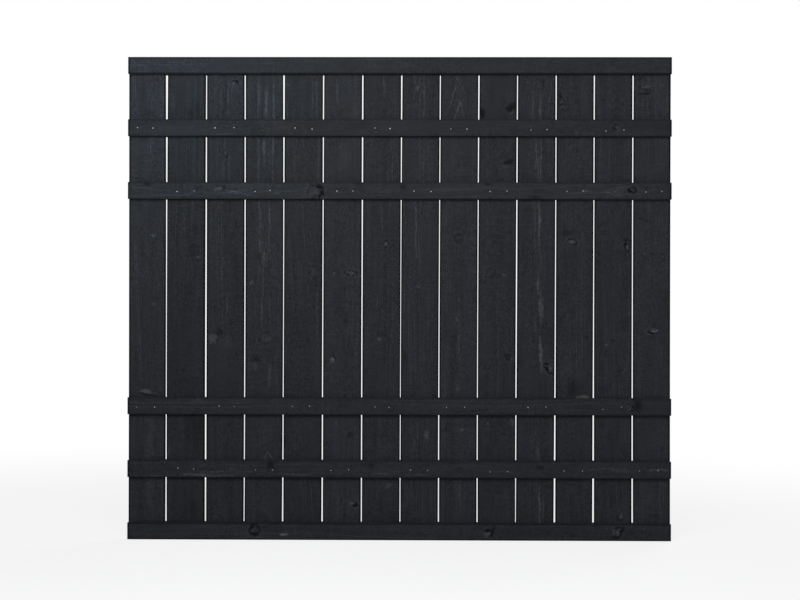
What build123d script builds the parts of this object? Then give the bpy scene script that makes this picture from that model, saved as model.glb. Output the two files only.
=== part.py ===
"""Windbreak panel: upright boards held between pairs of flat rails.

Millimetres. X runs along the panel, the front faces -Y, Z is up.
The origin is the middle of the foot, halfway through the thickness.

Fourteen boards stand side by side with a narrow gap between them. At six
levels a rail crosses them in front and a second one crosses them behind, so
the boards are clamped between two rails: one pair along the top edge, one
along the foot, and two pairs near each of those.
"""

import os

from build123d import *

# Boards, all sawn to one length
board_count = 14
board_width = 124.0
board_thickness = 16.0
board_length = 1600.0
board_gap = 4.8
board_arris = 2.0

# How much wider than board_width each board is at its ends, left to right
board_spare = (-3.0, 2.0, 0.0, 0.0, 2.5, 2.0, 1.0, 0.5, 0.5, 0.0, 0.5, -2.0, -0.5, -2.5)
board_belly = 1.0  # a board is this much wider halfway up, because its ends dried more

# Each gap at the ends of the boards, as a share of board_gap, left to right
gap_share = (1.5, 0.95, 0.85, 1.2, 1.0, 0.85, 0.8, 0.7, 0.9, 0.6, 1.1, 1.2, 1.15)

# How far each board's top stands to the right of its foot, in board gaps.
# The first gap opens upwards, and the boards right of the middle lean the most.
board_lean = (-0.15, 0.35, 0.1, 0.3, 0.55, 0.4, 0.6, 0.9, 0.75, 0.85, 0.95, 0.55, 0.1, -0.05)

# How far each board bends to the right halfway up, in board gaps
board_bow = (0.2, -0.25, 0.15, 0.35, 0.0, -0.1, 0.0, -0.2, -0.15, -0.3, 0.15, 0.0, -0.2, -0.3)

# Rails, one in front of the boards and one behind at each level
rail_width = 56.0
rail_thickness = 18.0
rail_arris = 2.0
rail_overhang = 0.78  # each rail end past the outer board
outer_field = 150.5  # bare board between the rail on the edge and the next one
inner_field = 152.3  # bare board between that rail and the third one

# An arris takes at most this share of the section that it rounds
arris_share = 1 / 3

# A side that bows by less than this is drawn straight
least_bow = 0.1


def pick(values, index):
    """The value of one board or gap. A wider panel starts the list again."""
    return values[index % len(values)]


# Worked out from the values above
board_widths = [board_width + pick(board_spare, index) for index in range(board_count)]
gaps = [board_gap * pick(gap_share, index) for index in range(board_count - 1)]
boards_across = sum(board_widths) + sum(gaps)
rail_length = boards_across + 2 * rail_overhang
outer_pitch = rail_width + outer_field
inner_pitch = rail_width + inner_field
rail_offset = (board_thickness + rail_thickness) / 2
top_level = board_length - rail_width / 2
foot_level = rail_width / 2

# Height of each rail's middle line
rail_levels = {
    "top_rail": top_level,
    "upper_outer_rail": top_level - outer_pitch,
    "upper_inner_rail": top_level - outer_pitch - inner_pitch,
    "lower_inner_rail": foot_level + outer_pitch + inner_pitch,
    "lower_outer_rail": foot_level + outer_pitch,
    "bottom_rail": foot_level,
}


def largest_arris(arris, width, thickness):
    """The arris, or what a thin section has room for."""
    return min(arris, width * arris_share, thickness * arris_share)


def draw_side(start, middle, end):
    """One long side of a board: an arc, or a line where its three points are in line."""
    bow = middle[0] - (start[0] + end[0]) / 2
    if abs(bow) < least_bow:
        Line(start, end)
    else:
        ThreePointArc(start, middle, end)


def make_board(index):
    """One upright board, sawn level at both ends and eased along its four long edges."""
    width = board_widths[index]
    left_side = sum(board_widths[:index]) + sum(gaps[:index]) - boards_across / 2
    lean = board_gap * pick(board_lean, index)
    foot = left_side - lean / 2
    top = left_side + lean / 2
    middle = left_side + board_gap * pick(board_bow, index) - board_belly / 2
    right_middle = middle + width + board_belly
    back_face = Plane.XZ.offset(-board_thickness / 2)
    with BuildPart() as board:
        with BuildSketch(back_face):
            with BuildLine():
                Line((foot, 0), (foot + width, 0))
                draw_side((foot + width, 0), (right_middle, board_length / 2), (top + width, board_length))
                Line((top + width, board_length), (top, board_length))
                draw_side((top, board_length), (middle, board_length / 2), (foot, 0))
            make_face()
        extrude(amount=board_thickness)
        long_edges = board.edges().sort_by(SortBy.LENGTH)[-4:]
        fillet(long_edges, largest_arris(board_arris, width, board_thickness))
    board.part.label = f"board_{index + 1:02d}"
    return board.part


def make_rail(name, level, side):
    """One flat rail on the front (side -1) or back (side 1) of the boards, its ends cut square."""
    left_end = Plane.YZ.offset(-rail_length / 2)
    with BuildPart() as rail:
        with BuildSketch(left_end):
            with Locations((side * rail_offset, level)):
                RectangleRounded(
                    rail_thickness,
                    rail_width,
                    largest_arris(rail_arris, rail_width, rail_thickness),
                )
        extrude(amount=rail_length)
    rail.part.label = name
    return rail.part


def make_panel():
    """Every piece of the panel, boards first."""
    boards = [make_board(index) for index in range(board_count)]
    front = [make_rail(f"{name}_front", level, -1) for name, level in rail_levels.items()]
    back = [make_rail(f"{name}_back", level, 1) for name, level in rail_levels.items()]
    return boards + front + back


os.makedirs("parts", exist_ok=True)
for piece in make_panel():
    export_step(piece, f"parts/{piece.label}.step")
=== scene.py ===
"""Windbreak panel: black-stained boards nailed between pairs of flat rails.

Metres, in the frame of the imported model: X runs along the panel, its front
faces -Y and Z is up. Each board and rail of the model is replaced by a sawn
timber of the same size, with eased arrises, an uneven surface and a stain that
follows its grain and its knots. Nails hold the rails to the boards.
"""

import math
import random
from typing import NamedTuple

import bmesh
import bpy
from bpy.props import FloatProperty, FloatVectorProperty, IntProperty, PointerProperty
from bpy.types import Operator, Panel, PropertyGroup
from mathutils import Euler, Matrix, Vector


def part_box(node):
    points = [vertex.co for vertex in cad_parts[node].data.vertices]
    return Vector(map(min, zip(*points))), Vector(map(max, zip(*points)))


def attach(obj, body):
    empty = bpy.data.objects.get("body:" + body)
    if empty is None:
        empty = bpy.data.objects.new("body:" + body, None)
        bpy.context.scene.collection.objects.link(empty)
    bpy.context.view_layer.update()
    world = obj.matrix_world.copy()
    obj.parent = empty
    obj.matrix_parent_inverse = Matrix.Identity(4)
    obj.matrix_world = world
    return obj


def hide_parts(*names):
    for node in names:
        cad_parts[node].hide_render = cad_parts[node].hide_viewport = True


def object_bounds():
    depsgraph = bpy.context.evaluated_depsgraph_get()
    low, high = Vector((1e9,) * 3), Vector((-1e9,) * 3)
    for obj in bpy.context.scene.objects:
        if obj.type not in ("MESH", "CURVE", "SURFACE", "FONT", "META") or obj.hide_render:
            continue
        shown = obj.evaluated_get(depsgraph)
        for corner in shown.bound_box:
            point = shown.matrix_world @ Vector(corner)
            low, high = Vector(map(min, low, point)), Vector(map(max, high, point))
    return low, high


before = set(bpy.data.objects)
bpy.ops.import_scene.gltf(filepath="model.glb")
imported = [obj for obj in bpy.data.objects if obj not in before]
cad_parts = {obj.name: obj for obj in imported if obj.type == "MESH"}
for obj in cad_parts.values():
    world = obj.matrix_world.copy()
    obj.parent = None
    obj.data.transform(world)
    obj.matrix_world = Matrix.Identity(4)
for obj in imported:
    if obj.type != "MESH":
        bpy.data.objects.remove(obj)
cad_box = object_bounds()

bl_info = {
    "name": "Windbreak Panel",
    "version": (1, 0, 0),
    "blender": (4, 5, 0),
    "location": "View3D > Sidebar > Windbreak",
    "description": "Saws, stains and nails the boards and rails of a windbreak panel",
    "category": "Add Mesh",
}

# The photograph's frame, in pixels
PHOTO_WIDTH = 800
PHOTO_HEIGHT = 600
SENSOR_WIDTH = 36.0
MILLIMETRE = 0.001
BODY = "root"
ORIGIN = (0.0, 0.0, 0.0)

boards = sorted(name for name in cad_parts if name.startswith("board_"))
rails = sorted(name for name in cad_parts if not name.startswith("board_"))
panel_front = cad_box[0].y
panel_middle = (cad_box[0] + cad_box[1]) / 2

# What one pixel of the photograph spans at the panel's front
PIXEL = 3.3 * MILLIMETRE

# Half the width of a thread of grain and of a finer one
THREAD = 2.5 * MILLIMETRE
FINE_THREAD = 1.6 * MILLIMETRE

# How much paler than its listed tone a hard knot or a thread of grain dried
PALE_KNOT_TONE = 1.35
STREAK_TONE = 1.45

# How much bare wood shows where a mark's warmth is 1
BARE_SHARE = 0.3

# How dark the painted shade is along the long edges, from 0 to 1
BOARD_EDGE_SHADE = 1.0
RAIL_EDGE_SHADE = 0.3
EDGE_SHADES = {"top_rail_front": 0.65, "bottom_rail_front": 0.65}

# A timber's bow is read off its node no nearer its ends than this share of its length
END_SHARE = 0.1

# Faces that look less straight out than this have no hollows
FLAT = 0.8

# Faces that meet at more than this angle keep a sharp edge between them
SHARP_ANGLE = math.radians(40)

# Shine of the stain, and how the grain's height shows
SHINE = 0.06
BUMP_STRENGTH = 0.35
BUMP_DEPTH = 0.7 * MILLIMETRE

# How far a nail may lean, in radians, its point's width as a share of its own, and how
# much of its look is metal
NAIL_LEAN = 0.05
POINT_SHARE = 0.1
NAIL_METAL = 0.85

# Lamps: where they hang, how wide they are and their colour
KEY_PLACE = Vector((-0.3, -2.8, 2.0))
KEY_SIZE = 1.4
KEY_COLOUR = (0.95, 0.97, 1.0)
BACK_PLACE = Vector((2.5, 4.0, 2.6))
BACK_SIZE = 2.2
WHITE = (1.0, 1.0, 1.0)

# Floor: how much of its look near the panel is plain white whatever falls on it, and
# between which distances it becomes all white
NEAR_WHITE = 0.82
FADE_START = 1.2
FADE_END = 4.5
FLOOR_COLOUR = (0.85, 0.85, 0.85, 1.0)
FLOOR_SIZE = 60
FLOOR_GAP = 0.5 * MILLIMETRE

# Noise that the looks are made of: waves to the metre across, through and along a timber,
# then detail and roughness. That of the strong years has waves to the year
LAYERS = {
    "knot edge": ((75, 75, 75), 3.0, 0.6),
    "sway": ((4, 4, 2.4), 3.0, 0.5),
    "ring edge": ((45, 45, 11), 3.0, 0.5),
    "strong years": ((0.53, 1, 1), 1.0, 0.5),
    "shown rings": ((11, 11, 2.6), 2.0, 0.5),
    "fibre": ((230, 230, 16), 4.0, 0.65),
    "clear wood": ((9, 9, 5), 2.0, 0.5),
    "speck": ((170, 170, 110), 3.0, 0.7),
    "blotch": ((38, 38, 15), 5.0, 0.6),
    "band": ((34, 34, 2.2), 2.0, 0.5),
    "wander": ((4, 4, 11), 4.0, 0.55),
    "ragged edge": ((160, 160, 40), 4.0, 0.5),
    "saw ridge": ((20, 20, 190), 3.0, 0.6),
    "sawn patch": ((7, 7, 3), 2.0, 0.5),
    "torn fibre": ((700, 700, 90), 3.0, 0.7),
    "spangle": ((900, 900, 900), 2.0, 0.5),
    "smear": ((160, 160, 160), 3.0, 0.5),
}


class Mark(NamedTuple):
    """A knot, streak or smudge, placed where the photograph shows it. Radii are in metres."""

    column: float
    row: float
    across: float
    along: float
    turn: float = 0.0  # degrees
    tone: float = 0.0  # above 0 is paler than the stain
    rim: float = 0.0  # how dark the ring round it is
    crescent: float = 0.0  # how much of that ring lies on one side
    soft: float = 0.3
    bend: float = 0.0  # how far the grain runs round it, in radii
    warm: float = 0.0  # how much bare brown wood shows


def knot(column, row, radius, **changes):
    """A tight knot: a dark ring round wood of about the stain's own tone."""
    mark = Mark(column, row, radius, radius, tone=-0.1, rim=0.24, bend=1.2)
    return mark._replace(**changes)


def pale_knot(column, row, across, along, **changes):
    """A hard knot that took little stain."""
    mark = Mark(column, row, across, along, tone=1.0, rim=0.4, bend=0.9, soft=0.45)
    mark = mark._replace(**changes)
    return mark._replace(tone=mark.tone * PALE_KNOT_TONE)


def streak(column, top_row, bottom_row, tone=0.45, **changes):
    """A pale thread of grain in an upright board."""
    half_length = (bottom_row - top_row) / 2 * PIXEL
    row = (top_row + bottom_row) / 2
    mark = Mark(column, row, THREAD, half_length, tone=tone * STREAK_TONE, soft=0.9)
    return mark._replace(**changes)


def dash(row, left_column, right_column, tone=0.45, **changes):
    """A pale thread of grain in a rail."""
    half_length = (right_column - left_column) / 2 * PIXEL
    column = (left_column + right_column) / 2
    mark = Mark(column, row, THREAD, half_length, tone=tone, soft=0.9)
    return mark._replace(**changes)


def scratch(column, row, along, turn, tone):
    """A fine pale thread that slants across the grain."""
    return Mark(column, row, FINE_THREAD, along, turn=turn, tone=tone, soft=0.9)


def smudge(column, row, across, along, tone=-0.35, **changes):
    """A soft patch where the stain lies thicker, or thinner with a tone above 0."""
    mark = Mark(column, row, across, along, tone=tone, soft=0.8)
    return mark._replace(**changes)


# Across and along are a timber's own: across its width and along its grain
MARKS = {
    "board_01": (
        knot(154, 83, 0.016, tone=0.1),
        smudge(150, 114, 0.016, 0.02),
        pale_knot(153, 235.5, 0.011, 0.006, tone=0.9),
        pale_knot(154, 304, 0.007, 0.004, tone=0.7),
        pale_knot(146.8, 391.5, 0.03, 0.006, turn=-10, tone=1.3, rim=0.3),
        Mark(148, 394.7, 0.026, 0.003, turn=-10, tone=-0.7, soft=0.5),
        streak(141, 340, 386, 0.3),
        smudge(150, 460, 0.014, 0.16, 0.3),
    ),
    "board_02": (
        smudge(195, 112, 0.025, 0.03),
        smudge(173, 103, 0.006, 0.025, 0.35),
        knot(193, 250, 0.015),
        pale_knot(197.5, 257, 0.006, 0.005),
        smudge(177, 302, 0.02, 0.05, 0.15),
        smudge(194, 433, 0.03, 0.06),
        smudge(169, 451, 0.006, 0.014, 0.6),
        smudge(189, 508, 0.02, 0.03, -0.3),
    ),
    "board_03": (
        pale_knot(234, 83, 0.009, 0.009, turn=45, tone=0.7, rim=0.8, crescent=0.8),
        streak(221, 80, 115, 0.35),
        streak(228, 85, 112),
        streak(225, 136, 150, 0.6),
        pale_knot(225.5, 153.5, 0.007, 0.011, tone=0.5, rim=0.6),
        streak(224, 158, 178, 0.5),
        streak(229, 156, 180, 0.4),
        streak(222, 258, 292),
        streak(227.5, 293, 314, 0.5),
        pale_knot(213.5, 338, 0.014, 0.014, tone=1.1, rim=0.35, turn=45, crescent=0.9),
        smudge(220, 332, 0.012, 0.012, -0.6),
        smudge(228, 343, 0.01, 0.02, 0.3),
    ),
    "board_04": (
        streak(259, 75, 112, 0.45, warm=0.2),
        streak(266, 90, 120, 1.0, across=0.0045),
        streak(273, 77, 183, 0.8),
        streak(264, 137, 158, 0.9, across=0.0045),
        streak(258.5, 137, 182, 0.5),
        streak(269.5, 198, 245, 0.8),
        streak(260, 198, 243, 0.7),
        streak(263, 240, 300, 0.4),
        scratch(264, 252, 0.025, -14, 1.2),
        scratch(270, 254, 0.028, 16, 1.3),
        knot(266, 258, 0.02, tone=0.25, rim=0.3, along=0.03),
        pale_knot(251, 283, 0.01, 0.008, tone=0.7),
        streak(262, 296, 326, 0.45),
        streak(270, 296, 323, 0.5),
        knot(265.5, 338, 0.016, tone=0.3, warm=0.1, rim=0.3, crescent=-0.5),
        smudge(256, 359, 0.013, 0.007, -0.6),
        smudge(255, 366, 0.01, 0.012, 0.5),
        streak(269, 366, 386, 0.6, across=0.005),
        scratch(266.2, 455.5, 0.016, -27, 1.6),
        scratch(270.6, 455.5, 0.016, 27, 1.6),
        scratch(271, 519, 0.018, 35, 1.0),
    ),
    "board_05": (
        pale_knot(288, 85, 0.008, 0.008, tone=0.5),
        streak(312, 80, 112, 0.5),
        streak(316, 78, 116, 0.5),
        streak(319, 138, 182, 0.5),
        knot(315, 272, 0.019, along=0.016, tone=0.2),
        smudge(310, 283, 0.008, 0.006, -0.5),
        streak(317, 296, 345, 0.5),
        knot(300.5, 347.5, 0.006, rim=0.4),
    ),
    "board_06": (
        streak(337, 80, 100, 0.6),
        smudge(355, 113, 0.016, 0.02, 0.15, warm=0.15),
        knot(331, 144, 0.007, along=0.004),
        smudge(346, 155, 0.02, 0.04, 0.2),
        pale_knot(334, 273, 0.008, 0.008, tone=0.6),
        pale_knot(351, 273, 0.019, 0.008, tone=0.6, rim=0.8),
        smudge(346, 321, 0.006, 0.018, -0.5),
        pale_knot(332.5, 359, 0.01, 0.009, turn=40, tone=1.3, rim=0.7, crescent=0.8),
        knot(350.5, 435, 0.008, tone=-0.4),
        pale_knot(336, 424, 0.006, 0.006, tone=0.6),
        pale_knot(352, 503.5, 0.013, 0.008, turn=-15, tone=0.7, rim=0.8, crescent=0.8),
    ),
    "board_07": (
        streak(384, 76, 90, 0.5),
        knot(372, 104, 0.01, tone=0.2, rim=0.35),
        knot(371, 145, 0.01, tone=0.2, rim=0.35),
        streak(382, 203, 237, 0.5),
        pale_knot(386, 244, 0.007, 0.011, turn=-25, tone=1.0, rim=0.8),
        streak(378, 300, 318, 0.4),
        pale_knot(379.5, 339, 0.008, 0.007, tone=0.9, rim=0.6),
        knot(365, 372, 0.008, rim=0.35),
        pale_knot(389, 486, 0.011, 0.011, tone=0.8, rim=0.4),
    ),
    "board_08": (
        pale_knot(418, 88, 0.007, 0.009, tone=0.6),
        streak(424, 75, 120, 0.45),
        streak(424, 148, 178, 0.45),
        pale_knot(419, 144, 0.006, 0.006, tone=0.6),
        streak(416, 205, 252, 0.9),
        streak(419, 230, 275, 0.5),
        smudge(414.5, 284, 0.006, 0.008, -0.5),
        pale_knot(417, 287, 0.007, 0.004, tone=0.8, rim=0.0),
        smudge(405.5, 358, 0.01, 0.014, -0.4),
        smudge(413, 368, 0.012, 0.006, 0.45),
        pale_knot(427, 434.5, 0.011, 0.011, tone=0.8, rim=0.6),
        streak(414.5, 438, 458, 0.5),
    ),
    "board_09": (
        streak(458, 75, 118, 0.15, across=0.008),
        scratch(457.1, 111.1, 0.028, -19, 1.5),
        scratch(462.1, 110.7, 0.026, 15, 1.4),
        scratch(453.7, 92.5, 0.043, -16, 0.9),
        scratch(460.8, 86.2, 0.024, 27, 0.9),
        knot(459, 238, 0.014, tone=0.2, rim=0.35),
        smudge(450, 288, 0.014, 0.014, 0.15, warm=0.15),
        pale_knot(459, 299, 0.006, 0.008, tone=0.7),
        pale_knot(457.5, 320, 0.008, 0.01, tone=0.5, rim=0.4),
        streak(459, 322, 364, 0.4),
        pale_knot(458, 389, 0.006, 0.01, tone=0.5, rim=0.2),
        pale_knot(461, 430, 0.005, 0.005, tone=0.7),
        streak(459.5, 484, 513, 0.5, warm=0.1),
    ),
    "board_10": (
        smudge(482.5, 113.5, 0.008, 0.015, -1.1),
        smudge(511, 108, 0.019, 0.012, -1.1, turn=35),
        Mark(511.5, 112, 0.003, 0.012, turn=-25, tone=0.9, soft=0.5),
        smudge(508.5, 162, 0.014, 0.008, -1.1, turn=15),
        Mark(506, 166.5, 0.015, 0.004, turn=-10, tone=1.0, soft=0.6),
        knot(491, 273, 0.014, tone=0.2, rim=0.4),
        pale_knot(503, 275, 0.012, 0.007, turn=20, tone=0.8),
        streak(498, 296, 396, 0.25),
        knot(508, 357, 0.009, tone=-0.3, rim=0.7),
        pale_knot(510.5, 358, 0.005, 0.007, tone=0.8, rim=0.0),
        knot(486, 367.5, 0.009, along=0.004, rim=0.5),
        pale_knot(487.5, 424, 0.01, 0.01, tone=0.3, rim=0.6),
        pale_knot(512, 422, 0.01, 0.01, tone=0.7, rim=0.2),
    ),
    "board_11": (
        knot(537.5, 84, 0.018, tone=0.2),
        streak(533, 90, 120, 0.5),
        streak(540, 98, 121, 0.9, across=0.0035),
        streak(536, 136, 168, 0.9),
        streak(538.5, 150, 184, 0.8),
        streak(541, 140, 184, 0.7, warm=0.15),
        streak(535, 200, 245, 0.45),
        streak(539.5, 200, 245, 1.1, across=0.0035),
        streak(538, 276, 292, 1.2, across=0.0035),
        pale_knot(540, 219, 0.006, 0.012, tone=0.7, rim=0.0),
        smudge(540, 265, 0.01, 0.035, 0.3, warm=0.15),
        streak(540.5, 294, 322, 1.2, across=0.0045),
        streak(543, 300, 316, 0.8, across=0.0035),
        streak(535, 318, 332, 0.6),
        streak(540.5, 341, 368, 1.4, across=0.0045),
        pale_knot(550, 368, 0.014, 0.018, turn=-140, tone=0.7, rim=0.9, crescent=0.9),
        knot(532, 442, 0.01, tone=0.2, warm=0.15),
        streak(539, 445, 463, 0.6, across=0.004),
        streak(539.5, 495, 521, 1.1, across=0.003, warm=0.15),
        streak(543, 498, 519, 0.6),
    ),
    "board_12": (
        pale_knot(561.5, 101.5, 0.007, 0.011, tone=0.5, rim=0.9, warm=0.1),
        smudge(560.5, 96, 0.004, 0.012, -0.7),
        pale_knot(572.5, 241.5, 0.014, 0.008, turn=-20, tone=1.1, rim=0.8),
        smudge(567, 233, 0.014, 0.01, -0.5),
        knot(587, 337.5, 0.005, tone=-0.4),
        smudge(572, 388, 0.028, 0.026, -0.45),
        pale_knot(582.5, 397, 0.024, 0.006, tone=1.5, rim=0.2, warm=0.3, turn=4),
        smudge(586, 398, 0.01, 0.005, 0.6, warm=1.6),
    ),
    "board_13": (
        pale_knot(627, 247, 0.007, 0.015, turn=15, tone=0.9, rim=0.8, crescent=-0.4),
        smudge(626, 240, 0.01, 0.005, -0.8),
        streak(629.5, 303, 346, 0.4),
        pale_knot(607, 345, 0.009, 0.003, tone=0.9, rim=0.5),
        knot(613, 341, 0.006, rim=0.5, tone=-0.3),
        Mark(606, 353, 0.003, 0.02, tone=-0.45, soft=0.4),
        knot(620, 369, 0.009, rim=0.45),
        pale_knot(621, 516.6, 0.011, 0.012, tone=0.8, rim=0.6),
    ),
    "board_14": (
        Mark(648, 86.5, 0.026, 0.006, turn=5, tone=0.9, rim=0.5, soft=0.7),
        Mark(646, 90, 0.02, 0.003, turn=-8, tone=-0.6, soft=0.7),
        Mark(645, 93.5, 0.02, 0.003, tone=-0.9, soft=0.5),
        Mark(642, 78, 0.003, 0.01, turn=-40, tone=-0.8, soft=0.6),
        smudge(650, 207, 0.01, 0.014, 0.4),
        Mark(644, 220, 0.026, 0.004, turn=-20, tone=-0.35, soft=0.6),
        knot(645, 258, 0.008),
        pale_knot(652.5, 331.5, 0.007, 0.014, tone=1.8, rim=0.9, turn=-90, crescent=0.7),
        pale_knot(660, 513, 0.009, 0.004, tone=0.4),
        smudge(655, 516, 0.012, 0.006, -0.5),
    ),
    "top_rail_front": (
        dash(61, 130, 230, 0.25),
        smudge(342, 63, 0.012, 0.02, -0.2),
        knot(436, 71, 0.012),
    ),
    "upper_outer_rail_front": (
        dash(134.5, 213, 233, 0.6),
        smudge(280, 128, 0.018, 0.045, 0.1, warm=0.12),
        smudge(356, 126, 0.014, 0.03, -0.25),
        smudge(371.5, 132.5, 0.006, 0.008, -0.6),
        pale_knot(376, 132, 0.01, 0.006, tone=0.9, rim=0.8, turn=-90, crescent=0.6),
        knot(566, 127, 0.005),
        pale_knot(577, 134, 0.009, 0.011, tone=0.4),
        pale_knot(617, 127, 0.01, 0.007, tone=0.7, warm=0.05, rim=0.7, turn=20, crescent=0.5),
        smudge(613.5, 128.5, 0.01, 0.006, -0.4),
    ),
    "upper_inner_rail_front": (
        smudge(147, 184, 0.006, 0.012, -0.6),
        smudge(358, 184, 0.006, 0.012, -0.6),
        smudge(403, 186.5, 0.006, 0.01, -0.6),
        smudge(487.5, 184, 0.006, 0.012, -0.6),
        dash(188, 131, 160, 0.6, turn=-6),
        knot(200, 190, 0.011, tone=0.2, rim=0.35),
        smudge(223.5, 188.5, 0.006, 0.007, -0.8),
        pale_knot(218, 189, 0.006, 0.012, tone=1.1, rim=0.1),
        pale_knot(191, 190, 0.007, 0.01, tone=0.3, rim=0.3),
        dash(190.5, 228, 251, 0.9, turn=10),
        dash(193, 228, 251, 0.9, turn=-10),
        pale_knot(276.5, 192.5, 0.005, 0.009, tone=0.5, rim=0.3),
        knot(315.5, 191.5, 0.021, tone=0.5, rim=0.8, turn=-90, crescent=0.5),
        smudge(321, 191, 0.014, 0.006, -0.5),
        dash(192, 329, 346, 0.5),
        dash(190, 428, 476, 0.35),
        dash(193, 566, 592, 0.4),
        scratch(612, 189.5, 0.028, 17, 1.3),
        scratch(612, 194, 0.028, -17, 1.3),
        scratch(618.5, 189.5, 0.016, 24, 1.1),
        scratch(618.5, 193.8, 0.016, -26, 1.1),
        pale_knot(585, 191.5, 0.005, 0.012, tone=0.7, rim=0.5),
        Mark(632.5, 189.5, 0.0085, 0.013, tone=-0.15, rim=0.9, soft=0.3, bend=1.2),
        dash(190, 644, 661, 0.45, turn=10),
        smudge(534, 198, 0.006, 0.02, -0.5),
    ),
    "lower_inner_rail_front": (
        smudge(198, 402, 0.008, 0.016, 0.3),
        dash(407, 239, 250, 0.35),
        smudge(390, 411, 0.006, 0.014, -0.4),
        dash(411, 560, 600, 0.25),
        knot(630, 407, 0.011, tone=0.9, rim=0.8),
        smudge(637.5, 405, 0.016, 0.014, -0.75),
    ),
    "lower_outer_rail_front": (
        dash(475.5, 150, 160, 1.1),
        dash(474.5, 182, 205, 1.1, across=0.003),
        dash(475.8, 200, 228, 1.2, across=0.003),
        dash(472, 205, 224, 0.8),
        knot(231, 470, 0.009, tone=0.2),
        smudge(270.5, 465, 0.012, 0.01, -0.8),
        dash(474, 283, 307, 1.2),
        smudge(371, 466, 0.006, 0.008, -0.6),
        dash(474, 376, 388, 0.8),
        dash(474.5, 409, 428, 0.9),
        smudge(460, 469, 0.004, 0.012, -0.5),
        dash(471.7, 492, 517, 0.7),
        Mark(541, 467.3, 0.005, 0.012, tone=-0.5, soft=0.4),
        dash(469.5, 588, 630, 0.8),
        dash(471.5, 616, 630, 0.7),
        knot(651, 470.5, 0.008, tone=0.5, rim=0.4),
        dash(470.3, 651, 671, 1.1, across=0.0035),
    ),
    "bottom_rail_front": (
        Mark(254.5, 530, 0.017, 0.015, tone=-0.35, rim=0.85, soft=0.4, bend=0.7),
        Mark(253.5, 529.5, 0.008, 0.007, tone=0.8, soft=0.6),
        dash(526.5, 259, 268, -0.7),
        pale_knot(284, 534.3, 0.004, 0.012, tone=2.2, rim=0.2),
        pale_knot(487.5, 534, 0.014, 0.012, tone=0.9, rim=0.9, turn=-45, crescent=0.8),
        Mark(493, 530, 0.019, 0.006, turn=-15, tone=-0.85, soft=0.35),
        pale_knot(617, 532, 0.014, 0.014, tone=0.8, rim=0.9, turn=-90, crescent=0.6),
        Mark(623, 529.5, 0.012, 0.006, tone=-0.9, soft=0.35),
        smudge(614.5, 538, 0.006, 0.012, -0.8),
        pale_knot(644, 529.3, 0.004, 0.004, tone=0.9, rim=0.3),
    ),
}

# How pale the stain dried on each timber that the photograph shows
TONES = {
    "board_01": 1.08,
    "board_02": 0.87,
    "board_03": 0.94,
    "board_04": 1.02,
    "board_05": 0.95,
    "board_06": 1.06,
    "board_07": 0.97,
    "board_09": 1.05,
    "board_10": 0.97,
    "board_14": 1.08,
    "top_rail_front": 1.05,
    "upper_outer_rail_front": 0.95,
    "upper_inner_rail_front": 1.08,
}

# Columns and rows of the nail heads in the photograph: two in every second board
NAIL_SPOTS = {
    "upper_outer_rail": (
        (137.5, 127.5), (153, 128), (215, 128), (234, 127.5), (295, 128), (312, 129), (375, 128),
        (390, 128.5), (451, 129), (467, 129), (531, 130), (547, 129.5), (606, 131), (624, 130),
    ),
    "upper_inner_rail": (
        (177, 191.5), (194, 191), (255, 191.5), (270, 190.5), (337, 191), (353, 191), (414, 191),
        (431, 191.5), (490, 191.5), (507, 191), (567, 191.5), (583, 191), (646, 192), (662, 191.5),
    ),
    "lower_inner_rail": (
        (136.5, 407), (154.5, 407), (219, 406), (234, 406.5), (292.5, 406.5), (309.5, 406),
        (375, 407), (389, 407.5), (446.5, 407.5), (464.5, 407.5), (528, 407.5), (546, 407),
        (603, 409.5), (621.5, 407),
    ),
    "lower_outer_rail": (
        (178, 468), (193.5, 469), (255.5, 470), (272.5, 470), (331, 470.5), (348.5, 470), (410.5, 470),
        (427.5, 470.5), (490, 472), (507.5, 471.5), (564, 471), (582.5, 471), (639.5, 471), (658, 470.5),
    ),
}


class StageSettings(PropertyGroup):
    """Camera and light."""

    camera_distance: FloatProperty(
        name="Camera Distance",
        description="From the lens to the front of the panel",
        default=6.0,
        unit="LENGTH",
    )
    eye_side: FloatProperty(
        name="Eye Side",
        description="How far the lens stands to the right of the panel's middle",
        default=0.0788,
        unit="LENGTH",
    )
    eye_height: FloatProperty(
        name="Eye Height",
        description="Height of the lens above the floor",
        default=0.7956,
        unit="LENGTH",
    )
    yaw: FloatProperty(
        name="Yaw",
        description="How far the camera is turned to the left",
        default=math.radians(0.723),
        unit="ROTATION",
    )
    roll: FloatProperty(
        name="Roll",
        description="How far the camera is tipped to its left",
        default=math.radians(0.1165),
        unit="ROTATION",
    )
    lens: FloatProperty(name="Lens", description="Focal length in millimetres", default=81.59)
    key_power: FloatProperty(
        name="Key Light",
        description="Power of the large soft lamp in front",
        default=65.5,
        unit="POWER",
    )
    back_power: FloatProperty(
        name="Back Light",
        description="Power of the large soft lamp behind",
        default=120.0,
        unit="POWER",
    )
    ambient: FloatProperty(
        name="Ambient",
        description="Strength of the light that comes from all round",
        default=0.18,
        min=0.0,
        max=1.0,
    )


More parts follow.
